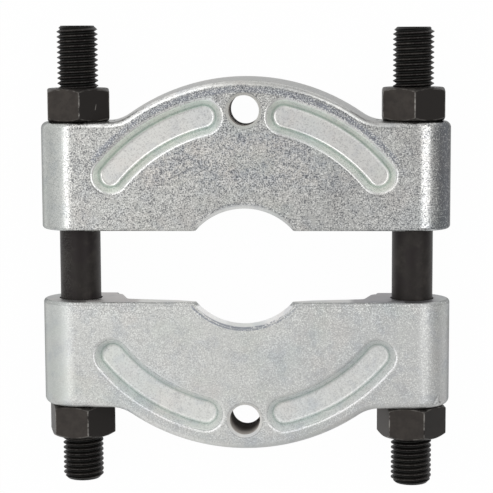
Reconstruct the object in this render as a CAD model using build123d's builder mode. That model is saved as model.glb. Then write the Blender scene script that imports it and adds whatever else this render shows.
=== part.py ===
from build123d import *
import math
import os

# Bearing separator: two forged half plates on two studs, each plate held by a pair of nuts.
# It lies on its back. X runs across the plates, Y along the studs, Z up from the table.
# All sizes are in millimetres, and the origin is under the middle of the whole tool.

# Studs
stud_diameter = 16.0
stud_length = 180.0
stud_spacing = 131.0
stud_end_chamfer = 1.6
stud_below_nuts = 18.0  # length of the left stud that stands out of its lower nut
stud_stagger = 1.0  # how much lower the right stud sits than the left one

# Hexagon nuts
nut_across_flats = 24.0
nut_height = 13.0
nut_face_diameter = 22.8
nut_chamfer_angle = 30.0
nut_clearance = 0.05  # radial, between the thread crests and the nut's bore
nut_countersink = 0.7
upper_left_turn = 9.0  # angle from +Z towards +X of one corner of each nut
upper_right_turn = 0.0
lower_left_turn = 16.0
lower_right_turn = 19.0

# Half plates
jaw_gap = 27.8  # distance between the two mating faces
end_thickness = 28.0  # thickness of the end blocks, whose outer ends are fully rounded
end_overhang = 14.7  # from the stud's axis to the outer end
block_inboard = 14.0  # from the stud's axis to the inner side of the end block
block_height = 42.0  # from the mating face to the nut's seat
stud_clearance = 0.5  # radial, between stud and plate
nut_turning_clearance = 0.6  # radial, between the nut's corners and the foot of the arch

# Arch behind the opening
rim_setback = 5.0  # from the backs of the end blocks to the back of the arch
arch_radius = 79.3
arch_draft = 3.0
arch_foot_radius = 15.0

# Opening that closes behind the bearing
opening_radius = 25.2
opening_rise = 8.6
bevel_depth = 2.7
bevel_crown_width = 1.8
bevel_radius = 24.6
land_depth = 0.6

# Relief behind the knife edge: a steep throat, a flat cone and a drafted wall
throat_width = 6.0
throat_thickness = 6.2
web_thickness = 9.8
recess_wall_angle = 14.5
recess_fillet_radius = 2.5

# Tapped hole for a puller leg, M14 coarse
leg_hole_diameter = 11.8
leg_hole_countersink_diameter = 13.8
leg_hole_back_chamfer = 0.8
leg_hole_rise = 46.5
leg_hole_inner_wall = 3.5  # between the hole and the recess, at the back of the arch
leg_hole_outer_wall = 5.6  # between the hole and the crown of the arch

# Kidney pockets in the front face, concentric with the arch
pocket_inset = 12.1  # from the arch's front edge to the pocket's centre line
pocket_width = 13.6
pocket_depth = 4.6
pocket_wall_angle = 32.0
pocket_first_angle = 13.3  # from the plate's centre line
pocket_last_angle = 50.5

# Edge rounding
outline_radius = 2.7
mating_edge_radius = 1.4
back_edge_radius = 1.2
pocket_rim_radius = 2.2
pocket_foot_radius = 1.5

# Places along the studs
lower_nut_y = (stud_stagger - stud_length) / 2 + stud_below_nuts
lower_seat_y = lower_nut_y + nut_height
lower_mating_y = lower_seat_y + block_height
upper_mating_y = lower_mating_y + jaw_gap
upper_seat_y = upper_mating_y + block_height
gap_middle_y = (lower_mating_y + upper_mating_y) / 2

# Places across the plates and above the table
stud_x = stud_spacing / 2
stud_z = end_thickness / 2
block_inner_x = stud_x - block_inboard
plate_width = stud_spacing + 2 * end_overhang
nut_corner_radius = nut_across_flats / 2 / math.cos(math.radians(30))
left, right = -1, 1

# The tapped hole sits between the recess and the crown of the arch, and sets both.
arch_rise = leg_hole_rise + leg_hole_diameter / 2 + leg_hole_outer_wall
opening_centre = opening_rise - opening_radius
recess_back_radius = leg_hole_rise - leg_hole_diameter / 2 - leg_hole_inner_wall - opening_centre

# The two plates are the same forging. The upper one is modelled, from planes that start at
# the middle of its mating face, and the lower one mirrors it.
mating_plane = Plane((0, upper_mating_y, 0), x_dir=(1, 0, 0), z_dir=(0, -1, 0))


def level(height):
    return Plane((0, upper_mating_y, height))


with BuildPart() as upper_plate:
    # End blocks with fully rounded ends, and the thinner bar between them.
    with BuildSketch(mating_plane):
        with Locations((0, stud_z)):
            SlotOverall(plate_width, end_thickness)
        Rectangle(2 * block_inner_x, rim_setback, align=(Align.CENTER, Align.MIN), mode=Mode.SUBTRACT)
    extrude(amount=-block_height)

    # Arch, drafted from back to front, with feet that run out on the nut seats.
    arch_centre = arch_rise - arch_radius
    arch_back_radius = arch_radius + (end_thickness - rim_setback) * math.tan(math.radians(arch_draft))
    for height, radius in ((rim_setback, arch_back_radius), (end_thickness, arch_radius)):
        with BuildSketch(level(height)) as arch_outline:
            with Locations((0, arch_centre)):
                Circle(radius)
            with Locations((0, block_height / 2)):
                Rectangle(2 * stud_x, arch_rise, align=(Align.CENTER, Align.MIN), mode=Mode.INTERSECT)
                Rectangle(2 * stud_x, block_height / 2, align=(Align.CENTER, Align.MIN))
            feet = arch_outline.vertices().filter_by(
                lambda corner: abs(corner.Y - block_height) < 0.01 and abs(corner.X) < stud_x - 1
            )
            fillet(feet, arch_foot_radius)
    loft()

    # Rounded outline. The front edge of the arch leads round both ends of the plate.
    front_face = upper_plate.faces().sort_by(Axis.Z)[-1]
    fillet(front_face.edges().sort_by(Axis.Y)[-1], outline_radius)

    # Mating edges, broken along the front and round the ends.
    mating_edges = upper_plate.edges().filter_by_position(
        Axis.Y, upper_mating_y - 0.01, upper_mating_y + 0.01
    )
    fillet(mating_edges.group_by(Axis.Z)[-1], mating_edge_radius)

    # Broken back edges, along the inner sides of the end blocks.
    block_back_edges = upper_plate.edges().filter_by(
        lambda edge: abs(edge.center().Z) < 0.01 and abs(abs(edge.center().X) - block_inner_x) < 0.01
    )
    fillet(block_back_edges, back_edge_radius)

    # Recess in the back, all about one axis, with its back edge broken.
    bevel_bottom_z = end_thickness - bevel_depth
    land_bottom_z = bevel_bottom_z - land_depth
    web_back_z = end_thickness - web_thickness
    wall_bottom_z = rim_setback + back_edge_radius
    wall_run = (web_back_z - wall_bottom_z) * math.tan(math.radians(recess_wall_angle))
    wall_bottom_radius = recess_back_radius - back_edge_radius
    recess_axis_start = (0, upper_mating_y + opening_centre, 0)
    with BuildSketch(Plane(recess_axis_start, x_dir=(1, 0, 0), z_dir=(0, -1, 0))):
        with BuildLine():
            relief = FilletPolyline(
                (opening_radius, land_bottom_z),
                (opening_radius + throat_width, end_thickness - throat_thickness),
                (wall_bottom_radius - wall_run, web_back_z),
                (wall_bottom_radius, wall_bottom_z),
                radius=recess_fillet_radius,
            )
            Polyline(relief @ 1, (recess_back_radius, rim_setback), (recess_back_radius, 0), (0, 0))
            Polyline((0, 0), (0, bevel_bottom_z), (opening_radius, bevel_bottom_z), relief @ 0)
        make_face()
    revolve(axis=Axis(recess_axis_start, (0, 0, 1)), mode=Mode.SUBTRACT)

    # Front bevel of the opening, widest at the crown.
    bevel_centre = opening_rise + bevel_crown_width - bevel_radius
    with BuildSketch(level(bevel_bottom_z)):
        with Locations((0, opening_centre)):
            Circle(opening_radius)
    with BuildSketch(level(end_thickness)):
        with Locations((0, bevel_centre)):
            Circle(bevel_radius)
    loft(mode=Mode.SUBTRACT)

    # Spot faces on the nut seats, so that the nuts clear the feet of the arch.
    with BuildSketch(mating_plane.offset(-block_height)):
        with Locations((left * stud_x, stud_z), (right * stud_x, stud_z)):
            Circle(nut_corner_radius + nut_turning_clearance)
    extrude(amount=-nut_height, mode=Mode.SUBTRACT)

    # Bores for the studs.
    with BuildSketch(mating_plane):
        with Locations((left * stud_x, stud_z), (right * stud_x, stud_z)):
            Circle(stud_diameter / 2 + stud_clearance)
    extrude(amount=-block_height, mode=Mode.SUBTRACT)

    # Kidney pockets with sloping walls, well rounded at the rim and at the foot.
    with BuildSketch(level(end_thickness)):
        for side in (left, right):
            with BuildLine(mode=Mode.PRIVATE) as pocket_line:
                CenterArc(
                    (0, arch_centre),
                    arch_radius - pocket_inset,
                    90 - side * pocket_first_angle,
                    side * (pocket_first_angle - pocket_last_angle),
                )
            SlotArc(pocket_line.wire(), pocket_width)
    extrude(amount=-pocket_depth, taper=pocket_wall_angle, mode=Mode.SUBTRACT)
    pocket_edges = upper_plate.edges(Select.LAST).group_by(Axis.Z)
    fillet(pocket_edges[0], pocket_foot_radius)
    fillet(pocket_edges[-1], pocket_rim_radius)

    # Tapped hole in the arch.
    with Locations((0, upper_mating_y + leg_hole_rise, end_thickness)):
        CounterSinkHole(leg_hole_diameter / 2, leg_hole_countersink_diameter / 2)
    chamfer(upper_plate.edges(Select.LAST).sort_by(Axis.Z)[0], leg_hole_back_chamfer)

with BuildPart() as lower_plate:
    mirror(upper_plate.part, about=Plane.XZ.offset(-gap_middle_y))

os.makedirs("parts", exist_ok=True)
for name, plate in (("upper_plate", upper_plate), ("lower_plate", lower_plate)):
    plate.part.label = name
    export_step(plate.part, f"parts/{name}.step")

# Studs, plain cylinders to the crests of their threads.
for name, side in (("left_stud", left), ("right_stud", right)):
    with BuildPart() as stud:
        stud_middle = (side * stud_x, -side * stud_stagger / 2, stud_z)
        with BuildSketch(Plane(stud_middle, x_dir=(1, 0, 0), z_dir=(0, -1, 0))):
            Circle(stud_diameter / 2)
        extrude(amount=stud_length / 2, both=True)
        chamfer(stud.edges().filter_by(GeomType.CIRCLE), stud_end_chamfer)
    stud.part.label = name
    export_step(stud.part, f"parts/{name}.step")

# Nuts, each turned as it sits and seated on its plate.
nut_face_radius = nut_face_diameter / 2
nut_bore_radius = stud_diameter / 2 + nut_clearance
chamfer_reach = nut_corner_radius + 1
chamfer_drop = (chamfer_reach - nut_face_radius) * math.tan(math.radians(nut_chamfer_angle))
for name, side, start_y, turn in (
    ("upper_left_nut", left, upper_seat_y, upper_left_turn),
    ("upper_right_nut", right, upper_seat_y, upper_right_turn),
    ("lower_left_nut", left, lower_nut_y, lower_left_turn),
    ("lower_right_nut", right, lower_nut_y, lower_right_turn),
):
    nut_start = (side * stud_x, start_y, stud_z)
    corner = (math.sin(math.radians(turn)), 0, math.cos(math.radians(turn)))
    with BuildPart() as nut:
        with BuildSketch(Plane(nut_start, x_dir=corner, z_dir=(0, 1, 0))):
            RegularPolygon(nut_across_flats / 2, 6, major_radius=False)
        extrude(amount=nut_height)
        # Chamfered corners at both ends.
        with BuildSketch(Plane(nut_start)):
            with BuildLine():
                Polyline(
                    (0, 0),
                    (nut_face_radius, 0),
                    (chamfer_reach, chamfer_drop),
                    (chamfer_reach, nut_height - chamfer_drop),
                    (nut_face_radius, nut_height),
                    (0, nut_height),
                    close=True,
                )
            make_face()
        revolve(axis=Axis(nut_start, (0, 1, 0)), mode=Mode.INTERSECT)
        # Bore, countersunk at both ends.
        with BuildSketch(Plane(nut_start)):
            with BuildLine():
                Polyline(
                    (0, 0),
                    (nut_bore_radius + nut_countersink, 0),
                    (nut_bore_radius, nut_countersink),
                    (nut_bore_radius, nut_height - nut_countersink),
                    (nut_bore_radius + nut_countersink, nut_height),
                    (0, nut_height),
                    close=True,
                )
            make_face()
        revolve(axis=Axis(nut_start, (0, 1, 0)), mode=Mode.SUBTRACT)
    nut.part.label = name
    export_step(nut.part, f"parts/{name}.step")
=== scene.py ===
import math

import bpy
from mathutils import Matrix, Vector


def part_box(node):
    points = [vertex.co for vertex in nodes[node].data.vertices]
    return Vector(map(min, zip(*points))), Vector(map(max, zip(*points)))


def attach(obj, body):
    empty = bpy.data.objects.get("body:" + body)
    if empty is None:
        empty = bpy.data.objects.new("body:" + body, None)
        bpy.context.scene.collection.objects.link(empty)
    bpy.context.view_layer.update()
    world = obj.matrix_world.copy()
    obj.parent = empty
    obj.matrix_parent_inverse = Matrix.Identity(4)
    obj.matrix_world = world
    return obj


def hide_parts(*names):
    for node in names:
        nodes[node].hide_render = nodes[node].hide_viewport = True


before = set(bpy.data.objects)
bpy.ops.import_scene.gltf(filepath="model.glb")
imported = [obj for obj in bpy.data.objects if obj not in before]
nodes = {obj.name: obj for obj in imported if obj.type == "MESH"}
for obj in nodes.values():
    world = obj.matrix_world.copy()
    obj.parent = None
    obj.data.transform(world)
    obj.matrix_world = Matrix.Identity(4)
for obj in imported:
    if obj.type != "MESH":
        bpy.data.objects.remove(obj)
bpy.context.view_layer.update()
scene = bpy.context.scene
mm = 0.001
print("frame loaded")

# places read from the frame: the plates' flat front, their mating faces, the right stud's axis
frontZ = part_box("upper_plate")[1].z
matingY = {"upper_plate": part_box("upper_plate")[0].y, "lower_plate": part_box("lower_plate")[1].y}
upwards = {"upper_plate": 1, "lower_plate": -1}
studMiddle = (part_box("right_stud")[0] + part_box("right_stud")[1]) / 2


# the photograph's own perspective
photoCamera = {
    "place": (31.25 * mm, 86.84 * mm, 700.54 * mm),
    "pitch": -0.1203,
    "yaw": 0.045,
    "roll": -0.0044,
    "lens": 128.18,
    "sensor": 36.0,
    "sees": (0.01, 50),
}


def placeCamera(values):
    bpy.ops.object.camera_add(location=values["place"])
    camera = bpy.context.object
    camera.name = "photo_camera"
    camera.rotation_mode = "ZXY"
    camera.rotation_euler = (values["pitch"], values["yaw"], values["roll"])
    camera.data.lens = values["lens"]
    camera.data.sensor_width = values["sensor"]
    camera.data.clip_start, camera.data.clip_end = values["sees"]
    scene.camera = camera


placeCamera(photoCamera)
scene.view_settings.view_transform = "Standard"
print("camera placed")


class Amount:
    # One output of a material's nodes. Sums and products of amounts add Math nodes.
    def __init__(self, tree, socket=None):
        self.tree = tree
        self.socket = socket

    def node(self, kind, settings=None, inputs=None, output=0):
        made = self.tree.nodes.new(kind)
        for name, value in (settings or {}).items():
            if name == "stops":
                ramp = made.color_ramp
                while len(ramp.elements) < len(value):
                    ramp.elements.new(1)
                for element, (position, colour) in zip(ramp.elements, value):
                    element.position = position
                    element.color = (*colour, 1)
            else:
                setattr(made, name, value)
        for name, value in (inputs or {}).items():
            if isinstance(value, Amount):
                self.tree.links.new(value.socket, made.inputs[name])
            else:
                made.inputs[name].default_value = value
        return Amount(self.tree, made.outputs[output] if made.outputs else None)

    def math(self, operation, *values):
        return self.node("ShaderNodeMath", {"operation": operation}, dict(enumerate(values)))

    def __add__(self, other):
        return self.math("ADD", self, other)

    def __sub__(self, other):
        return self.math("SUBTRACT", self, other)

    def __rsub__(self, other):
        return self.math("SUBTRACT", other, self)

    def __mul__(self, other):
        return self.math("MULTIPLY", self, other)

    def __truediv__(self, other):
        return self.math("DIVIDE", self, other)

    def __pow__(self, other):
        return self.math("POWER", self, other)

    def __abs__(self):
        return self.math("ABSOLUTE", self)

    __radd__ = __add__
    __rmul__ = __mul__

    def larger(self, other):
        return self.math("MAXIMUM", self, other)

    def reach(self, other):
        # the length of two sides at right angles
        return (self * self + other * other) ** 0.5

    def between(self, low, high):
        # 0 at low, 1 at high, smooth in between
        return self.node(
            "ShaderNodeMapRange",
            {"interpolation_type": "SMOOTHSTEP"},
            {"Value": self, "From Min": low, "From Max": high},
        )

    def inside(self, low, high, edge):
        # 1 from low to high, 0 outside, with soft edges
        return self.between(low - edge, low) * (1 - self.between(high, high + edge))

    def noise(self, scale, detail=2.0, rough=0.5):
        return self.node(
            "ShaderNodeTexNoise", {}, {"Vector": self, "Scale": scale, "Detail": detail, "Roughness": rough}
        )

    def scratch(self, y, line, core=0.3, taper=0.4 * mm):
        # 1 along a thin line from x, y to x, y, given with its half width in mm. This amount is its X.
        startX, startY, endX, endY, width = (value * mm for value in line)
        length = math.hypot(endX - startX, endY - startY)
        alongX, alongY = (endX - startX) / length, (endY - startY) / length
        fromX, fromY = self - startX, y - startY
        across = abs(fromX * alongY - fromY * alongX)
        along = fromX * alongX + fromY * alongY
        return across.between(width, core * width) * along.inside(0, length, taper)

    def parts(self):
        return [self.node("ShaderNodeSeparateXYZ", {}, {0: self}, axis) for axis in "XYZ"]

    def mix(self, first, second, blend="MIX"):
        # this amount blends from the first colour to the second
        inputs = {0: self}
        # sockets 6 and 7 of a Mix node take its colours
        for slot, colour in ((6, first), (7, second)):
            inputs[slot] = colour if isinstance(colour, Amount) else (*colour, 1)
        return self.node("ShaderNodeMix", {"data_type": "RGBA", "blend_type": blend}, inputs, 2)


def newMaterial(name):
    material = bpy.data.materials.new(name)
    material.use_nodes = True
    material.node_tree.nodes.clear()
    return material, Amount(material.node_tree)


def closeMaterial(start, colour, roughness, metallic, height, bump, edgeTint=1.0):
    normal = start.node(
        "ShaderNodeBump", {}, {"Height": height, "Strength": bump["strength"], "Distance": bump["distance"]}
    )
    surface = start.node(
        "ShaderNodeBsdfPrincipled",
        {},
        {
            "Base Color": colour, "Roughness": roughness, "Metallic": metallic, "Normal": normal,
            "Specular Tint": (edgeTint, edgeTint, edgeTint, 1),
        },
    )
    start.node("ShaderNodeOutputMaterial", {}, {"Surface": surface})


# white paper under an open tent, with a long softbox running north on either side
studio = {
    "skyColour": (1.0, 1.0, 0.99),
    # the tent's level from its west side over the top to its east side
    "skyLevels": (
        (0.0, 0.72), (0.04, 0.79), (0.12, 0.84), (0.3, 0.88), (0.42, 0.85), (0.47, 0.75), (0.52, 0.61),
        (0.6, 0.56), (0.8, 0.54), (0.92, 0.5), (1.0, 0.48),
    ),
    # and what is left of it from straight overhead to the north horizon
    "northLevels": (
        (0.0, 1.0), (0.06, 1.0), (0.16, 0.72), (0.32, 0.72), (0.5, 1.05), (0.8, 1.15), (1.0, 1.05),
    ),
    "floorSize": 8.0,
    "floorLit": (0.9, 0.9, 0.9),
    "floorDim": (0.8, 0.8, 0.8),
    "floorWhite": 0.98,
    # the floor's own light fades out between these distances from the tool's middle
    "litReach": (102 * mm, 140 * mm),
    "paperGrain": (40.0, 3.0),
    "paperRoughness": (0.85, 0.1),
    "lamps": {
        "west": {"place": (-0.6, 0.7, 0.955), "length": 2.0, "width": 0.32, "power": 2.45},
        "east": {"place": (0.645, 0.7, 0.915), "length": 2.0, "width": 0.5, "power": 4.0},
    },
}


def buildSky(values):
    world = bpy.data.worlds.new("studio_world")
    world.use_nodes = True
    background = world.node_tree.nodes["Background"]
    start = Amount(world.node_tree)
    east, north, up = start.node("ShaderNodeTexCoord", {}, {}, "Generated").parts()
    stops = [(at, tuple(level * part for part in values["skyColour"])) for at, level in values["skyLevels"]]
    sky = start.node("ShaderNodeValToRGB", {"stops": stops}, {0: east / east.reach(up) * 0.5 + 0.5})
    # the north levels go past 1, so the ramp holds them halved and the sky is doubled after it
    stops = [(at, (level / 2, level / 2, level / 2)) for at, level in values["northLevels"]]
    northSky = start.node("ShaderNodeValToRGB", {"stops": stops}, {0: north / north.reach(up)})
    sky = sky.node("ShaderNodeVectorMath", {"operation": "MULTIPLY"}, {0: sky, 1: northSky})
    sky = sky.node("ShaderNodeVectorMath", {"operation": "SCALE"}, {0: sky, "Scale": 2.0})
    world.node_tree.links.new(sky.socket, background.inputs["Color"])
    scene.world = world


def hangSoftbox(side, values):
    bpy.ops.object.light_add(type="AREA", location=values["place"])
    light = bpy.context.object
    light.name = f"softbox_{side}"
    light.data.shape = "RECTANGLE"
    light.data.size = values["length"]
    light.data.size_y = values["width"]
    light.data.energy = values["power"]
    aim = Vector((0, values["place"][1], frontZ)) - Vector(values["place"])
    light.rotation_mode = "QUATERNION"
    light.rotation_quaternion = aim.to_track_quat("-Z", "Y")


def layFloor(values):
    # white to the camera, the gloss and anything clear, and paper to every other ray
    bpy.ops.mesh.primitive_plane_add(size=values["floorSize"])
    floor = bpy.context.object
    floor.name = "studio_floor"
    material, start = newMaterial("floor_paper")
    place = start.node("ShaderNodeTexCoord", {}, {}, "Object")
    x, y, z = place.parts()
    dim = abs(x).larger(abs(y)).between(*values["litReach"])
    least, spread = values["paperRoughness"]
    roughness = least + spread * place.noise(*values["paperGrain"])
    paper = start.node(
        "ShaderNodeBsdfPrincipled",
        {},
        {"Base Color": dim.mix(values["floorLit"], values["floorDim"]), "Roughness": roughness},
    )
    camera, glossy, clear = (
        start.node("ShaderNodeLightPath", {}, {}, name)
        for name in ("Is Camera Ray", "Is Glossy Ray", "Is Transmission Ray")
    )
    seen = camera.larger(glossy).larger(clear) * (1 - dim) * values["floorWhite"]
    glow = start.node("ShaderNodeEmission", {}, {"Color": (1, 1, 1, 1), "Strength": 1.0})
    both = start.node("ShaderNodeMixShader", {}, {0: seen, 1: paper, 2: glow})
    start.node("ShaderNodeOutputMaterial", {}, {"Surface": both})
    floor.data.materials.append(material)


buildSky(studio)
for side, lamp in studio["lamps"].items():
    hangSoftbox(side, lamp)
layFloor(studio)
print("studio built")

# The forging's own places. A rise or a centre counts from its mating face towards the crown of the arch,
# and the pocket's floor from the table.
forging = {
    "archCentre": -21.3 * mm,
    "grooveRadius": 75.9 * mm,
    "pocketRadius": 67.2 * mm,
    "pocketFloor": 23.4 * mm,
    "holeRise": 46.5 * mm,
    "openingCentre": -16.6 * mm,
}

# Where each area of a forging begins and ends. Two figures blend from the first to the second. With three,
# the area lies between the first two and the last is how wide its soft edges are.
zones = {
    # away from the pocket's middle line, along X, and out towards the arch
    "pocketWidth": (7.3 * mm, 8.0 * mm),
    "pocketLength": (61.5 * mm, 62.5 * mm),
    "outerRim": (2 * mm, 4 * mm),
    # up from the table
    "pocketHeight": (forging["pocketFloor"] - 0.2 * mm, frontZ - 0.36 * mm, 0.1 * mm),
    "wallHeight": (forging["pocketFloor"] + 0.6 * mm, frontZ - 0.7 * mm, 0.4 * mm),
    "wallFootHeight": (forging["pocketFloor"] + 0.7 * mm, forging["pocketFloor"] + 1.6 * mm, 0.5 * mm),
    "footLineHeight": (forging["pocketFloor"] + 1.0 * mm, forging["pocketFloor"] + 1.2 * mm, 0.2 * mm),
    "rimLineHeight": (frontZ - 0.5 * mm, frontZ - 0.4 * mm, 0.12 * mm),
    "rimShineHeight": (frontZ - 0.26 * mm, frontZ - 0.1 * mm, 0.06 * mm),
    "bevelHeight": (24.7 * mm, frontZ - 0.06 * mm, 0.05 * mm),
    # out from the tapped hole's axis, and down from the front
    "countersink": (6.9 * mm, 7.05 * mm),
    "holeEdge": (6.95 * mm, 7.2 * mm, 0.12 * mm),
    "bore": (7.2 * mm, 7.4 * mm),
    "boreDepth": (0.95 * mm, 1.3 * mm),
    "boreShade": (-3 * mm, 14 * mm),
    # out from the opening's axis
    "bevel": (27.1 * mm, 27.3 * mm),
    "bevelRim": (26.1 * mm, 26.6 * mm),
    "bevelEdge": (27.15 * mm, 27.6 * mm, 0.2 * mm),
    # from the mating face towards the crown
    "mating": (0.02 * mm, 0.12 * mm),
    "matingEdge": (0.15 * mm, 1.4 * mm, 0.3 * mm),
    "pastMating": (1.0 * mm, 1.6 * mm),
    "matingGrain": (3 * mm, 9 * mm),
    "archRise": (12 * mm, 20 * mm),
    "webRise": (13 * mm, 22 * mm),
    # away from the middle on both sides
    "webLength": (32 * mm, 52 * mm),
    "blockFace": (40 * mm, 43 * mm),
    "archLength": (58 * mm, 63 * mm),
    # away from the groove's middle line
    "groove": (1.7 * mm, 0.5 * mm),
    # from west to east, and from the middle to the west for the smooth end
    "paintedGlintEnd": (-18 * mm, -4 * mm),
    "highlightFade": (-12 * mm, 2 * mm),
    "eastward": (-20 * mm, 60 * mm),
    "blockToBlock": (-60 * mm, 60 * mm),
    "dullEnd": (71.5 * mm, 77 * mm),
    "smoothEnd": (67 * mm, 71 * mm),
    # how far the surface faces up, from 0 on an upright side to 1 on the front
    "sideLean": (0.2, 0.6),
    "paintedGlintLean": (0.35, 0.65),
    "archEdgeLean": (0.9, 0.985),
}

# the blasted surface from its finest pits to broad clouds: scale, detail and roughness of each noise
grain = {
    "pits": (1900.0, 2.0, 0.6),
    "waves": (700.0, 2.0),
    "ragged": (420.0, 2.0),
    "patches": (120.0, 3.0, 0.65),
    "clouds": (38.0, 2.0),
}

# noises added up, each by its share
blends = {
    "dents": {"pits": 0.8, "waves": 0.2},
    "mottling": {"waves": 0.5, "patches": 0.5},
    "frost": {"waves": 0.4, "dents": 0.6},
    "bevelMottle": {"waves": 0.7, "patches": 0.3},
}

# where the noise turns from none to full in each mark
spots = {
    "mottling": (0.38, 0.56),
    "frost": (0.42, 0.5),
    "rimLine": (0.4, 0.5),
    "rimShine": (0.42, 0.5),
    "bevelMottle": (0.36, 0.5),
    "darkFlecks": (0.375, 0.485),
    "lightFlecks": (0.525, 0.62),
    "tints": (0.5, 0.7),
    "warmWeb": (0.48, 0.62),
    "scratches": (0.3, 0.6),
    "scoring": (0.3, 0.55),
}

# what the zinc of both plates has in common
zinc = {
    # how far the arch's edge takes its two painted highlight colours, and the bevel and the hole take their
    # lines
    "edgeShare": 0.5,
    "bevelLine": 0.4,
    "holeLine": 0.4,
    "scratchShare": 0.8,
    # how far the broad noises shift the flecks, and how ragged the arch's edge ends
    "darkDrift": 0.12,
    "lightDrift": 0.1,
    "raggedness": 0.05,
    # the bevel's dark mottling fades towards the east, by this much a metre
    "bevelMottleFade": 6.0,
    # painted shade for the pockets' foot line and rim line, and a painted highlight for the outer rim
    "footShade": (0.36, 0.41, 0.38),
    "rimShade": (0.42, 0.44, 0.44),
    "rimWhite": (1.0, 1.0, 1.0),
    "holeShade": (0.2, 0.2, 0.2),
    # painted shade down the tapped hole's bore, from its mouth to its bottom
    "boreMouth": (0.74, 0.70, 0.66),
    "boreBottom": (0.08, 0.068, 0.058),
    "coldWeb": (0.82, 0.865, 0.94),
    "warmWeb": (1.02, 0.98, 0.95),
    # faint stains: scale, tint and share
    "tints": (
        (33.0, (0.90, 0.93, 0.97), 0.5),
        (61.0, (0.95, 0.98, 0.94), 0.4),
        (95.0, (0.98, 0.94, 0.93), 0.4),
        (170.0, (0.82, 0.84, 0.88), 0.5),
    ),
    # how much each area takes from the side's painted shade, the flecks, the bumps, the light flecks and
    # the metal
    "sideLoss": {"pocket": 1, "smoothed": 1, "arch": 0.65},
    "fleckLoss": {"smoothed": 0.9, "smoothEnd": 0.7, "archEdge": 0.7, "machined": 0.5},
    "bumpLoss": {"pocket": 0.7, "smoothed": 0.9, "smoothEnd": 0.8},
    "lightLoss": {"dullEnd": 0.6},
    "metalLoss": {"bore": 0.65, "countersink": 0.5},
    # what each noise and each area adds to the roughness
    "roughGrain": {"clouds": 0.14, "patches": 0.12},
    "roughAreas": {"bore": 0.25, "wall": 0.15, "pocket": 0.06, "archEdge": 0.08},
    "waveHeight": 0.8,
    "edgeTint": 0.6,
}
upperZinc = {
    "base": (0.63, 0.63, 0.612),
    "dark": (0.19, 0.195, 0.21),
    "light": (0.97, 0.97, 0.95),
    "pocket": (0.85, 0.845, 0.82),
    # the pockets' walls and their feet are painted lighter against the shade in the pocket, over a greenish
    # tint
    "wall": (0.93, 0.96, 0.91),
    "wallFoot": (0.74, 0.83, 0.76),
    "machined": (0.80, 0.80, 0.77),
    "bevel": (0.70, 0.705, 0.69),
    "bevelWorn": (0.40, 0.41, 0.43),
    "bevelWear": 0.45,
    # painted shade for the steep sides
    "side": (0.46, 0.47, 0.465),
    "smoothTint": (0.97, 1.0, 1.0),
    "eastTint": (0.95, 0.95, 0.96),
    "grooveTint": (0.58, 0.61, 0.70),
    "frost": (1.0, 1.0, 0.99),
    "webTints": 0.6,
    "pocketSmooth": 0.7,
    "footLine": 0.25,
    "rimLine": 0.15,
    "rimShine": 0.2,
    # painted shade on the mating edge
    "matingEdge": (0.97, 0.97, 0.97),
    # painted shade on the end blocks' mating faces, west and east
    "blockFace": (0.50, 0.50, 0.495),
    "eastBlockFace": (0.50, 0.50, 0.495),
    "dullEnd": (0.135, 0.14, 0.152),
    "contrast": 1.0,
    "matingContrast": 0.0,
    "scratches": (
        (61.2, 30.0, 67.5, 36.4, 0.3), (63.4, 30.4, 68.4, 33.8, 0.22), (59.8, 33.6, 66.0, 34.6, 0.2),
    ),
    "scoring": (
        (-28.2, 31.8, -20.0, 35.9, 0.3), (-19.0, 33.0, -13.0, 36.6, 0.25), (-61.4, 36.4, -60.8, 37.0, 0.5),
    ),
    "roughness": 0.25,
    "bump": {"strength": 0.3, "distance": 0.1 * mm},
}
lowerZinc = {
    "base": (0.70, 0.705, 0.69),
    "dark": (0.50, 0.505, 0.50),
    "light": (0.95, 0.96, 0.94),
    "pocket": (0.82, 0.825, 0.805),
    # the pockets' walls and their feet are painted lighter against the shade in the pocket, over a greenish
    # tint
    "wall": (0.86, 0.88, 0.86),
    "wallFoot": (0.76, 0.82, 0.785),
    "machined": (0.92, 0.915, 0.89),
    "bevel": (0.97, 0.97, 0.96),
    "bevelWorn": (0.30, 0.32, 0.38),
    "bevelWear": 0.9,
    # painted shade for the steep sides
    "side": (0.54, 0.55, 0.55),
    "smoothTint": (0.96, 0.985, 0.985),
    "eastTint": (0.92, 0.92, 0.93),
    "grooveTint": (0.88, 0.89, 0.91),
    "frost": (0.86, 0.86, 0.85),
    "webTints": 0.0,
    "pocketSmooth": 0.3,
    "footLine": 0.45,
    "rimLine": 0.7,
    "rimShine": 1.0,
    # painted shade on the mating edge
    "matingEdge": (0.8, 0.8, 0.8),
    # painted shade on the end blocks' mating faces, west and east
    "blockFace": (0.69, 0.67, 0.66),
    "eastBlockFace": (0.50, 0.49, 0.50),
    "dullEnd": (0.64, 0.645, 0.635),
    "contrast": 0.72,
    "matingContrast": 0.35,
    "scratches": ((-49.5, -34.0, -44.0, -30.5, 0.25), (30.0, -60.5, 36.5, -58.8, 0.2)),
    "scoring": (
        (38.0, -26.0, 44.5, -27.2, 0.25), (75.1, -53.3, 73.0, -57.0, 0.3), (75.1, -53.3, 76.4, -57.2, 0.2),
    ),
    "roughness": 0.44,
    "bump": {"strength": 0.25, "distance": 0.1 * mm},
}


def blendGrain(here, kind):
    # the noises of one blend, added up
    return sum(share * here[noise] for noise, share in blends[kind].items())


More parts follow.
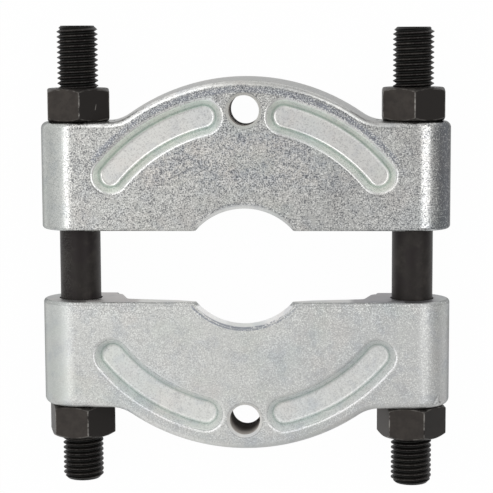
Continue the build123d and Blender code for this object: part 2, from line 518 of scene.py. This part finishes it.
def readPlace(start, plate):
    # what the finish goes by at each point of a plate: where it is, how far it faces up, and its grain
    place = start.node("ShaderNodeTexCoord", {}, {}, "Object")
    here = {kind: place.noise(*noise) for kind, noise in grain.items()}
    here["dents"] = blendGrain(here, "dents")
    here["mottling"] = blendGrain(here, "mottling").between(*spots["mottling"])
    here["level"] = start.node("ShaderNodeTexCoord", {}, {}, "Normal").parts()[2]
    here["place"] = place
    here["x"], here["y"], here["z"] = place.parts()
    here["rise"] = (here["y"] - matingY[plate]) * upwards[plate]
    here["away"] = abs(here["x"])
    here["below"] = frontZ - here["z"]
    here["archRadius"] = here["x"].reach(here["rise"] - forging["archCentre"])
    here["fromHole"] = here["x"].reach(here["rise"] - forging["holeRise"])
    here["fromOpening"] = here["x"].reach(here["rise"] - forging["openingCentre"])
    return here


def lessOver(amount, losses, on):
    # what is left of an amount that each area takes its share of
    for area, loss in losses.items():
        amount = amount * (1 - loss * on[area])
    return amount


def findPocket(here, on):
    z, fromPocket = here["z"], here["archRadius"] - forging["pocketRadius"]
    plan = 1 - abs(fromPocket).between(*zones["pocketWidth"])
    plan = plan * (1 - here["away"].between(*zones["pocketLength"]))
    on["pocketPlan"] = plan
    on["pocket"] = plan * z.inside(*zones["pocketHeight"])
    on["wall"] = on["pocket"] * z.inside(*zones["wallHeight"])
    on["wallFoot"] = on["pocket"] * z.inside(*zones["wallFootHeight"])
    on["footLine"] = on["pocket"] * z.inside(*zones["footLineHeight"])
    on["rimLine"] = plan * z.inside(*zones["rimLineHeight"])
    on["rimShine"] = plan * z.inside(*zones["rimShineHeight"]) * fromPocket.between(*zones["outerRim"])


def findMachined(here, on):
    z, rise, fromHole, fromOpening = here["z"], here["rise"], here["fromHole"], here["fromOpening"]
    on["countersink"] = 1 - fromHole.between(*zones["countersink"])
    on["holeEdge"] = fromHole.inside(*zones["holeEdge"])
    on["bore"] = (1 - fromHole.between(*zones["bore"])) * here["below"].between(*zones["boreDepth"])
    pastMating = rise.between(*zones["pastMating"])
    on["bevel"] = (1 - fromOpening.between(*zones["bevel"])) * z.inside(*zones["bevelHeight"]) * pastMating
    on["bevelRim"] = on["bevel"] * fromOpening.between(*zones["bevelRim"])
    on["bevelEdge"] = fromOpening.inside(*zones["bevelEdge"]) * pastMating
    on["mating"] = 1 - rise.between(*zones["mating"])
    on["matingEdge"] = rise.inside(*zones["matingEdge"])
    on["blockFace"] = on["mating"] * here["away"].between(*zones["blockFace"])
    on["machined"] = on["countersink"].larger(on["mating"])
    on["smoothed"] = on["machined"].larger(on["bevel"])


def findForged(here, on):
    x, rise, away = here["x"], here["rise"], here["away"]
    on["arch"] = (1 - away.between(*zones["archLength"])) * rise.between(*zones["archRise"])
    on["side"] = lessOver(1 - here["level"].between(*zones["sideLean"]), zinc["sideLoss"], on)
    ragged = here["level"] + zinc["raggedness"] * (here["ragged"] - 0.5)
    archEdge = on["arch"] * (1 - ragged.between(*zones["archEdgeLean"]))
    on["archEdge"] = lessOver(archEdge, {"pocket": 1, "smoothed": 1}, on)
    on["groove"] = on["arch"] * abs(here["archRadius"] - forging["grooveRadius"]).between(*zones["groove"])
    on["web"] = rise.between(*zones["webRise"]) * (1 - away.between(*zones["webLength"]))
    on["web"] = lessOver(on["web"], {"pocketPlan": 1, "archEdge": 1}, on)
    on["smoothEnd"] = (-1 * x).between(*zones["smoothEnd"])
    on["dullEnd"] = x.between(*zones["dullEnd"])


def colourArchEdge(colour, look, here, on):
    # painted highlight: the arch's front edge is painted paler, takes white painted glints in the west, and
    # loses its paler paint towards the east
    edge = zinc["edgeShare"] * on["archEdge"]
    frost = on["archEdge"] * here["level"].between(*zones["paintedGlintLean"])
    frost = frost * blendGrain(here, "frost").between(*spots["frost"])
    colour = edge.mix(colour, look["pocket"])
    colour = (frost * (1 - here["x"].between(*zones["paintedGlintEnd"]))).mix(colour, look["frost"])
    return (edge * here["x"].between(*zones["highlightFade"])).mix(colour, look["base"])


def colourPocket(colour, look, here, on):
    # painted light and shade in the pockets: the walls and their feet are painted lighter against the
    # pocket's shade, a painted shade line runs along the walls' foot and near the rims, and a painted
    # highlight along the outer rim
    colour = on["wall"].mix(colour, look["wall"])
    colour = on["wallFoot"].mix(colour, look["wallFoot"])
    colour = (on["footLine"] * look["footLine"]).mix(colour, zinc["footShade"])
    rimLine = on["rimLine"] * here["waves"].between(*spots["rimLine"])
    colour = (rimLine * look["rimLine"]).mix(colour, zinc["rimShade"])
    rimShine = on["rimShine"] * here["dents"].between(*spots["rimShine"])
    return (rimShine * look["rimShine"]).mix(colour, zinc["rimWhite"])


def colourMachined(colour, look, here, on):
    colour = on["machined"].mix(colour, look["machined"])
    colour = on["bevel"].mix(colour, look["bevel"])
    # a dark mottled band on the bevel, fading towards the east
    bevelMottle = blendGrain(here, "bevelMottle") - zinc["bevelMottleFade"] * here["x"]
    bevelMottle = bevelMottle.between(*spots["bevelMottle"]) * look["bevelWear"]
    colour = (on["bevelRim"].larger(on["bevelEdge"]) * bevelMottle).mix(colour, look["bevelWorn"])
    colour = (zinc["bevelLine"] * on["bevelEdge"]).mix(colour, look["bevelWorn"])
    colour = (zinc["holeLine"] * on["holeEdge"]).mix(colour, zinc["holeShade"])
    # painted shade: the end blocks' mating faces are painted darker, more in the east
    blockFace = here["x"].between(*zones["blockToBlock"]).mix(look["blockFace"], look["eastBlockFace"])
    colour = on["blockFace"].mix(colour, blockFace)
    # the east end is darker, most on the upper plate, and takes fewer light flecks
    return on["dullEnd"].mix(colour, look["dullEnd"])


def shadeForging(colour, look, here, on):
    # painted shade: steep sides are painted darker, less on the arch, for the darker light they reflect
    colour = on["side"].mix(colour, look["side"], "MULTIPLY")
    # painted shade on the mating edge's fillet, strong on the lower plate and faint on the upper
    colour = on["matingEdge"].mix(colour, look["matingEdge"], "MULTIPLY")
    colour = on["smoothEnd"].mix(colour, look["smoothTint"], "MULTIPLY")
    # painted shade: the plates are painted darker towards the east
    colour = here["x"].between(*zones["eastward"]).mix(colour, look["eastTint"], "MULTIPLY")
    # painted shade, mottled and bluish, along a dip inside the arch's edge
    return (on["groove"] * here["mottling"]).mix(colour, look["grooveTint"], "MULTIPLY")


def fleckForging(colour, look, here, on):
    nearMating = 1 - here["rise"].between(*zones["matingGrain"])
    gritty = look["contrast"] + look["matingContrast"] * nearMating
    gritty = lessOver(gritty, {"pocket": look["pocketSmooth"], **zinc["fleckLoss"]}, on)
    darkFlecks = here["dents"] + zinc["darkDrift"] * (here["patches"] - 0.5)
    lightFlecks = here["dents"] + zinc["lightDrift"] * (here["clouds"] - 0.5)
    darkFlecks = (1 - darkFlecks.between(*spots["darkFlecks"])) * gritty
    lightFlecks = lessOver(lightFlecks.between(*spots["lightFlecks"]) * gritty, zinc["lightLoss"], on)
    return lightFlecks.mix(darkFlecks.mix(colour, look["dark"]), look["light"])


def stainForging(colour, look, here, on):
    for scale, tint, share in zinc["tints"]:
        stain = here["place"].noise(scale).between(*spots["tints"]) * share
        colour = stain.mix(colour, tint, "MULTIPLY")
    web = on["web"] * look["webTints"]
    colour = (web * (1 - here["mottling"])).mix(colour, zinc["coldWeb"], "MULTIPLY")
    return (web * here["clouds"].between(*spots["warmWeb"])).mix(colour, zinc["warmWeb"], "MULTIPLY")


def scratchForging(colour, look, here, on):
    for marks, tint in (("scratches", look["light"]), ("scoring", look["dark"])):
        broken = here["dents"].between(*spots[marks]) * zinc["scratchShare"]
        for line in look[marks]:
            colour = (here["x"].scratch(here["y"], line) * broken).mix(colour, tint)
    return colour


def colourBore(colour, look, here, on):
    # painted shade: the bore darkens from its mouth to its bottom
    inBore = here["below"].between(*zones["boreShade"]).mix(zinc["boreMouth"], zinc["boreBottom"])
    return on["bore"].mix(colour, inBore)


def zincFinish(name, plate, look):
    # Bright zinc over a shot-blasted forging. The machined edges and the pockets are smoother.
    material, start = newMaterial(name)
    here = readPlace(start, plate)
    on = {}
    for find in (findPocket, findMachined, findForged):
        find(here, on)
    colour = on["pocket"].mix(look["base"], look["pocket"])
    for step in (
        colourArchEdge, colourPocket, colourMachined, shadeForging, fleckForging, stainForging,
        scratchForging, colourBore,
    ):
        colour = step(colour, look, here, on)
    roughness = look["roughness"]
    for kind, share in zinc["roughGrain"].items():
        roughness = roughness + share * (here[kind] - 0.5)
    for area, share in zinc["roughAreas"].items():
        roughness = roughness + share * on[area]
    height = lessOver(here["dents"] + zinc["waveHeight"] * here["waves"], zinc["bumpLoss"], on)
    metalLoss = zinc["metalLoss"]
    metallic = 1 - metalLoss["bore"] * on["bore"]
    metallic = metallic - metalLoss["countersink"] * on["countersink"] * (1 - on["bore"])
    closeMaterial(start, colour, roughness, metallic, height, look["bump"], zinc["edgeTint"])
    return material


studBlack = {
    "base": (0.023, 0.0195, 0.018),
    "patch": (0.046, 0.040, 0.036),
    "stain": (0.021, 0.0165, 0.0165),
    "root": (0.008, 0.008, 0.007),
    "crest": (0.085, 0.083, 0.078),
    "mottle": (120.0, 5.0, 0.7),
    "patches": (0.4, 0.7),
    "clouds": (110.0, 3.0),
    "stains": (0.46, 0.6),
    "grit": (1800.0, 2.0),
    "crestSpots": (0.45, 0.6),
    "crestShare": 0.5,
    # out from the stud's axis
    "rootShade": (7.0 * mm, 7.9 * mm),
    "crestWear": (7.88 * mm, 7.987 * mm, 0.006 * mm),
    "roughness": 0.42,
    "roughMottle": 0.15,
    "metallic": 0.6,
    "gritHeight": 0.06,
    "bump": {"strength": 0.2, "distance": 0.1 * mm},
}


def studFinish(name, look):
    # Black oxide, with painted shade in the thread's roots, and rubbed on its crests.
    material, start = newMaterial(name)
    place = start.node("ShaderNodeTexCoord", {}, {}, "Object")
    x, y, z = place.parts()
    radius = (abs(x) - studMiddle.x).reach(z - studMiddle.z)
    mottle = place.noise(*look["mottle"])
    grit = place.noise(*look["grit"])
    colour = mottle.between(*look["patches"]).mix(look["base"], look["patch"])
    colour = place.noise(*look["clouds"]).between(*look["stains"]).mix(colour, look["stain"])
    # painted shade in the thread's roots
    colour = (1 - radius.between(*look["rootShade"])).mix(colour, look["root"])
    worn = radius.inside(*look["crestWear"]) * grit.between(*look["crestSpots"]) * look["crestShare"]
    colour = worn.mix(colour, look["crest"])
    roughness = look["roughness"] + look["roughMottle"] * mottle
    height = mottle + look["gritHeight"] * grit
    closeMaterial(start, colour, roughness, look["metallic"], height, look["bump"])
    return material


nutBlack = {
    "base": (0.033, 0.0275, 0.0245),
    "light": (0.051, 0.0435, 0.038),
    "eastFacingShade": (0.020, 0.017, 0.0155),
    # the colour of the scratch and of the light lines along corners and arcs, part wear and part painted
    # highlight
    "worn": (0.27, 0.255, 0.24),
    "mottle": (300.0, 4.0, 0.65),
    "patches": (0.3, 0.7),
    "wornSpots": (0.35, 0.65),
    "grit": (1500.0, 2.0),
    # painted shade where the side faces east, none where it faces west
    "shadeFacing": (-0.32, 0.18),
    # out from the nut's axis to its corners
    "cornerWear": (13.68 * mm, 13.72 * mm),
    # the line where the chamfer's cone meets the flats, part rubbed and part painted highlight
    "chamferRadius": 11.4 * mm,
    "chamferSlope": math.tan(math.radians(30)),
    "arcWidth": (0.04 * mm, 0.26 * mm, 0.08 * mm),
    "arcReach": (12 * mm, 12.1 * mm),
    "arcWear": 0.42,
    # one scratch, on the front of the upper left nut
    "scratch": (-57.6, 58.2, -57.3, 60.0, 0.2),
    "scratchHeight": (18 * mm, 19 * mm),
    "scratchWear": 0.8,
    "roughness": 0.38,
    "roughMottle": 0.2,
    "metallic": 0.6,
    "gritHeight": 0.15,
    "bump": {"strength": 0.2, "distance": 0.1 * mm},
}


def nutDepth(y):
    # how deep a point lies under the nearest face of its nut, the same in all four nuts
    upperLow, upperHigh = (corner.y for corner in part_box("upper_left_nut"))
    lowerLow, lowerHigh = (corner.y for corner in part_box("lower_left_nut"))
    upperMiddle, lowerMiddle = (upperLow + upperHigh) / 2, (lowerLow + lowerHigh) / 2
    fromMiddle = abs(abs(y - (upperMiddle + lowerMiddle) / 2) - (upperMiddle - lowerMiddle) / 2)
    return (upperHigh - upperLow) / 2 - fromMiddle


def nutFinish(name, look):
    # Black oxide, with painted shade on the faces that look east, and light lines along the corners and the
    # chamfers' arcs that are part wear and part painted highlight.
    material, start = newMaterial(name)
    place = start.node("ShaderNodeTexCoord", {}, {}, "Object")
    x, y, z = place.parts()
    radius = (abs(x) - studMiddle.x).reach(z - studMiddle.z)
    mottle = place.noise(*look["mottle"])
    grit = place.noise(*look["grit"])
    arc = nutDepth(y) - (radius - look["chamferRadius"]) * look["chamferSlope"]
    arc = arc.inside(*look["arcWidth"]) * radius.between(*look["arcReach"]) * look["arcWear"]
    scratch = x.scratch(y, look["scratch"]) * z.between(*look["scratchHeight"]) * look["scratchWear"]
    # light lines along the corners and the chamfers' arcs, part wear and part painted highlight, and one
    # scratch
    rubbedAndLit = radius.between(*look["cornerWear"]).larger(arc).larger(scratch)
    facing = start.node("ShaderNodeTexCoord", {}, {}, "Normal").parts()[0]
    colour = mottle.between(*look["patches"]).mix(look["base"], look["light"])
    # painted shade on the faces that look east
    colour = facing.between(*look["shadeFacing"]).mix(colour, look["eastFacingShade"])
    colour = (rubbedAndLit * mottle.between(*look["wornSpots"])).mix(colour, look["worn"])
    roughness = look["roughness"] + look["roughMottle"] * mottle
    height = mottle + look["gritHeight"] * grit
    closeMaterial(start, colour, roughness, look["metallic"], height, look["bump"])
    return material


plateFinish = {
    "upper_plate": zincFinish("zinc_blasted", "upper_plate", upperZinc),
    "lower_plate": zincFinish("zinc_smooth", "lower_plate", lowerZinc),
}
studMaterial = studFinish("black_stud", studBlack)
nutMaterial = nutFinish("black_nut", nutBlack)
print("finishes made")

# modelling steps that repeat, and their tolerances
modelling = {
    "weldGap": 0.004 * mm,
    "flatAngle": math.radians(0.4),
    "threadGap": 0.01 * mm,
    "cutGap": 0.001 * mm,
    "faceWeight": 80,
    # the flank of a 60 degree thread, and the edges of a turned bar that are chamfered
    "flankAngle": math.radians(30),
    "barEdge": math.radians(60),
}


def clearSelection():
    if bpy.context.mode != "OBJECT":
        bpy.ops.object.mode_set(mode="OBJECT")
    bpy.ops.object.select_all(action="DESELECT")


def pick(piece):
    clearSelection()
    piece.select_set(True)
    bpy.context.view_layer.objects.active = piece


def finishModifier(piece, kind, **settings):
    pick(piece)
    modifier = piece.modifiers.new(kind.lower(), kind)
    for name, value in settings.items():
        setattr(modifier, name, value)
    bpy.ops.object.modifier_apply(modifier=modifier.name)


def editAll(piece):
    pick(piece)
    bpy.ops.object.mode_set(mode="EDIT")
    bpy.ops.mesh.select_all(action="SELECT")


def weldedNode(nodeName, name):
    # the node's triangles joined up, with its flat faces whole again
    piece = bpy.data.objects.new(name, nodes[nodeName].data.copy())
    scene.collection.objects.link(piece)
    piece.data.materials.clear()
    editAll(piece)
    bpy.ops.mesh.customdata_custom_splitnormals_clear()
    bpy.ops.mesh.remove_doubles(threshold=modelling["weldGap"])
    bpy.ops.mesh.dissolve_limited(angle_limit=modelling["flatAngle"])
    bpy.ops.object.mode_set(mode="OBJECT")
    return piece


def placeMesh(piece, place):
    # what an object is moved or turned by goes into its mesh
    piece.data.transform(place @ piece.matrix_basis)
    piece.matrix_basis = Matrix.Identity(4)


def smoothPiece(piece, degrees):
    pick(piece)
    bpy.ops.object.shade_smooth_by_angle(angle=math.radians(degrees), keep_sharp_edges=False)
    finishModifier(piece, "WEIGHTED_NORMAL", keep_sharp=True, weight=modelling["faceWeight"])


def settle(piece, body, material):
    # every body and the node it replaces have the same name here
    piece.data.materials.clear()
    piece.data.materials.append(material)
    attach(piece, body)
    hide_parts(body)


def threadedRod(name, values):
    # one pitch of the thread, drawn as a line and screwed about Y
    clearSelection()
    bpy.ops.mesh.primitive_plane_add(size=mm)
    rod = bpy.context.object
    rod.name = name
    editAll(rod)
    bpy.ops.mesh.merge(type="CENTER")
    bpy.ops.transform.translate(value=(values["root"], values["start"], 0))
    rise = values["crest"] - values["root"]
    flank = rise * math.tan(modelling["flankAngle"])
    rootFlat = values["pitch"] - values["crestFlat"] - 2 * flank
    for step in ((rise, flank, 0), (0, values["crestFlat"], 0), (-rise, flank, 0), (0, rootFlat, 0)):
        bpy.ops.mesh.extrude_region_move(TRANSFORM_OT_translate={"value": step})
    bpy.ops.object.mode_set(mode="OBJECT")
    finishModifier(
        rod, "SCREW", axis="Y", screw_offset=values["pitch"], iterations=values["turns"],
        steps=values["steps"], render_steps=values["steps"],
    )
    editAll(rod)
    bpy.ops.mesh.remove_doubles(threshold=modelling["threadGap"])
    bpy.ops.object.mode_set(mode="OBJECT")
    return rod


def faceOutwards(piece):
    editAll(piece)
    bpy.ops.mesh.normals_make_consistent(inside=False)
    bpy.ops.object.mode_set(mode="OBJECT")


def cutEnds(piece, low, high):
    # cuts the piece off square at two places along Y, and closes it
    for where, direction in ((low, -1), (high, 1)):
        editAll(piece)
        bpy.ops.mesh.bisect(
            plane_co=(0, where, 0), plane_no=(0, direction, 0), use_fill=True, clear_outer=True,
            threshold=modelling["cutGap"],
        )
    faceOutwards(piece)


def joinShapes(piece, other, operation):
    finishModifier(piece, "BOOLEAN", operation=operation, object=other, solver="EXACT")
    bpy.data.objects.remove(other)


stud = {
    "shankRadius": 8.0 * mm,
    "shankFrom": -58.5 * mm,
    "shankTo": 24 * mm,
    "shankChamfer": 1.1 * mm,
    "sides": 96,
    "end": 90 * mm,
    "endRadius": 6.4 * mm,
    # how far a thread reaches into the shank, and past the stud's end before the gauge trims it
    "threadLap": 1.5 * mm,
    "threadOver": 1 * mm,
    "gaugeRoom": 1.5 * mm,
    "thread": {
        "root": 6.773 * mm, "crest": 7.985 * mm, "crestFlat": 0.27 * mm, "pitch": 2 * mm, "steps": 48,
    },
    "upperThread": {"start": 20 * mm, "turns": 37},
    "lowerThread": {"start": -93.3 * mm, "turns": 19},
    "turned": {"left_stud": 40, "right_stud": 115},
    "smoothAngle": 35,
}


def turnedBar(name, radius, low, high, chamfer, sides):
    clearSelection()
    bpy.ops.mesh.primitive_cylinder_add(
        vertices=sides, radius=radius, depth=high - low, location=(0, (low + high) / 2, 0),
        rotation=(math.pi / 2, 0, 0),
    )
    bar = bpy.context.object
    bar.name = name
    placeMesh(bar, Matrix.Identity(4))
    finishModifier(
        bar, "BEVEL", width=chamfer, segments=1, limit_method="ANGLE", angle_limit=modelling["barEdge"]
    )
    return bar


def buildStud(values):
    # a plain shank with both threads on it, trimmed to length and chamfered by a turned gauge
    shankFrom, shankTo, end, sides = (values[name] for name in ("shankFrom", "shankTo", "end", "sides"))
    beyond = end + values["threadOver"]
    upper = threadedRod("upper_thread", {**values["thread"], **values["upperThread"]})
    cutEnds(upper, shankTo - values["threadLap"], beyond)
    lower = threadedRod("lower_thread", {**values["thread"], **values["lowerThread"]})
    cutEnds(lower, -beyond, shankFrom + values["threadLap"])
    shank = turnedBar("stud", values["shankRadius"], shankFrom, shankTo, values["shankChamfer"], sides)
    gaugeRadius = values["shankRadius"] + values["gaugeRoom"]
    gauge = turnedBar("gauge", gaugeRadius, -end, end, gaugeRadius - values["endRadius"], sides)
    joinShapes(shank, upper, "UNION")
    joinShapes(shank, lower, "UNION")
    joinShapes(shank, gauge, "INTERSECT")
    smoothPiece(shank, values["smoothAngle"])
    return shank


model = buildStud(stud)
for name, degrees in stud["turned"].items():
    piece = bpy.data.objects.new(f"threaded_{name}", model.data.copy())
    scene.collection.objects.link(piece)
    low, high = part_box(name)
    place = Matrix.Translation((low + high) / 2)
    placeMesh(piece, place @ Matrix.Rotation(math.radians(degrees), 4, "Y"))
    settle(piece, name, studMaterial)
bpy.data.objects.remove(model)
print("studs done")

# the tapped hole: its thread runs from one height to the other, and its first turn starts at lift
legHole = {
    "from": 3 * mm,
    "to": 25 * mm,
    "lift": 1 * mm,
    "thread": {
        "root": 5.8 * mm, "crest": 7.0 * mm, "crestFlat": 0.3 * mm, "pitch": 2 * mm, "steps": 40,
        "turns": 15, "start": 0,
    },
}


def buildTap(values):
    tap = threadedRod("tap", values["thread"])
    cutEnds(tap, values["from"] - values["lift"], values["to"] - values["lift"])
    placeMesh(tap, Matrix.Translation((0, 0, values["lift"])) @ Matrix.Rotation(math.pi / 2, 4, "X"))
    return tap


# Nicks in the forgings, each a pyramid with its point down: where, how far the surface leans there, and
# the base's half width and half length and half the height. A quarter of the height stands clear.
nicks = {
    "upper_plate": [
        {"at": (-62.96, 51.3, 28.0), "lean": (0, 0), "spin": 0, "size": (0.9, 0.9, 0.35), "sides": 3},
        {"at": (49.2, 54.2, 26.6), "lean": (-40, 0), "spin": -10, "size": (0.525, 1.95, 0.5), "sides": 4},
    ],
    "lower_plate": [
        {"at": (74.6, -55.4, 25.3), "lean": (0, 36), "spin": -30, "size": (1.35, 3.6, 0.6), "sides": 4},
        {"at": (76.4, -56.4, 23.6), "lean": (0, 45), "spin": 50, "size": (0.6, 1.8, 0.4), "sides": 4},
        {"at": (-67.6, -57.6, 27.9), "lean": (20, -5), "spin": 10, "size": (0.75, 0.9, 0.4), "sides": 3},
    ],
}


def cutNick(piece, nick):
    clearSelection()
    bpy.ops.mesh.primitive_cone_add(vertices=nick["sides"], radius1=1, radius2=0, depth=2)
    pit = bpy.context.object
    halfWidth, halfLength, halfHeight = (value * mm for value in nick["size"])
    shape = Matrix.Diagonal((halfWidth, halfLength, -halfHeight, 1))
    sink = Matrix.Translation((0, 0, -halfHeight / 2))
    leanX, leanY = (math.radians(angle) for angle in nick["lean"])
    turn = Matrix.Rotation(leanX, 4, "X") @ Matrix.Rotation(leanY, 4, "Y")
    turn = turn @ Matrix.Rotation(math.radians(nick["spin"]), 4, "Z")
    place = Matrix.Translation([value * mm for value in nick["at"]])
    placeMesh(pit, place @ turn @ sink @ shape)
    faceOutwards(pit)
    joinShapes(piece, pit, "DIFFERENCE")


plateSmoothAngle = 32
for name in ("upper_plate", "lower_plate"):
    piece = weldedNode(name, f"forged_{name}")
    tap = buildTap(legHole)
    holeY = matingY[name] + upwards[name] * forging["holeRise"]
    placeMesh(tap, Matrix.Translation((0, holeY, 0)))
    joinShapes(piece, tap, "DIFFERENCE")
    for nick in nicks[name]:
        cutNick(piece, nick)
    smoothPiece(piece, plateSmoothAngle)
    settle(piece, name, plateFinish[name])
print("plates done")

nut = {"edge": 0.3 * mm, "edgeSegments": 2, "sharperThan": math.radians(25), "smoothAngle": 30}
for name in ("upper_left_nut", "upper_right_nut", "lower_left_nut", "lower_right_nut"):
    piece = weldedNode(name, f"hex_{name}")
    finishModifier(
        piece, "BEVEL", width=nut["edge"], segments=nut["edgeSegments"], limit_method="ANGLE",
        angle_limit=nut["sharperThan"], use_clamp_overlap=False,
    )
    smoothPiece(piece, nut["smoothAngle"])
    settle(piece, name, nutMaterial)
print("nuts done")
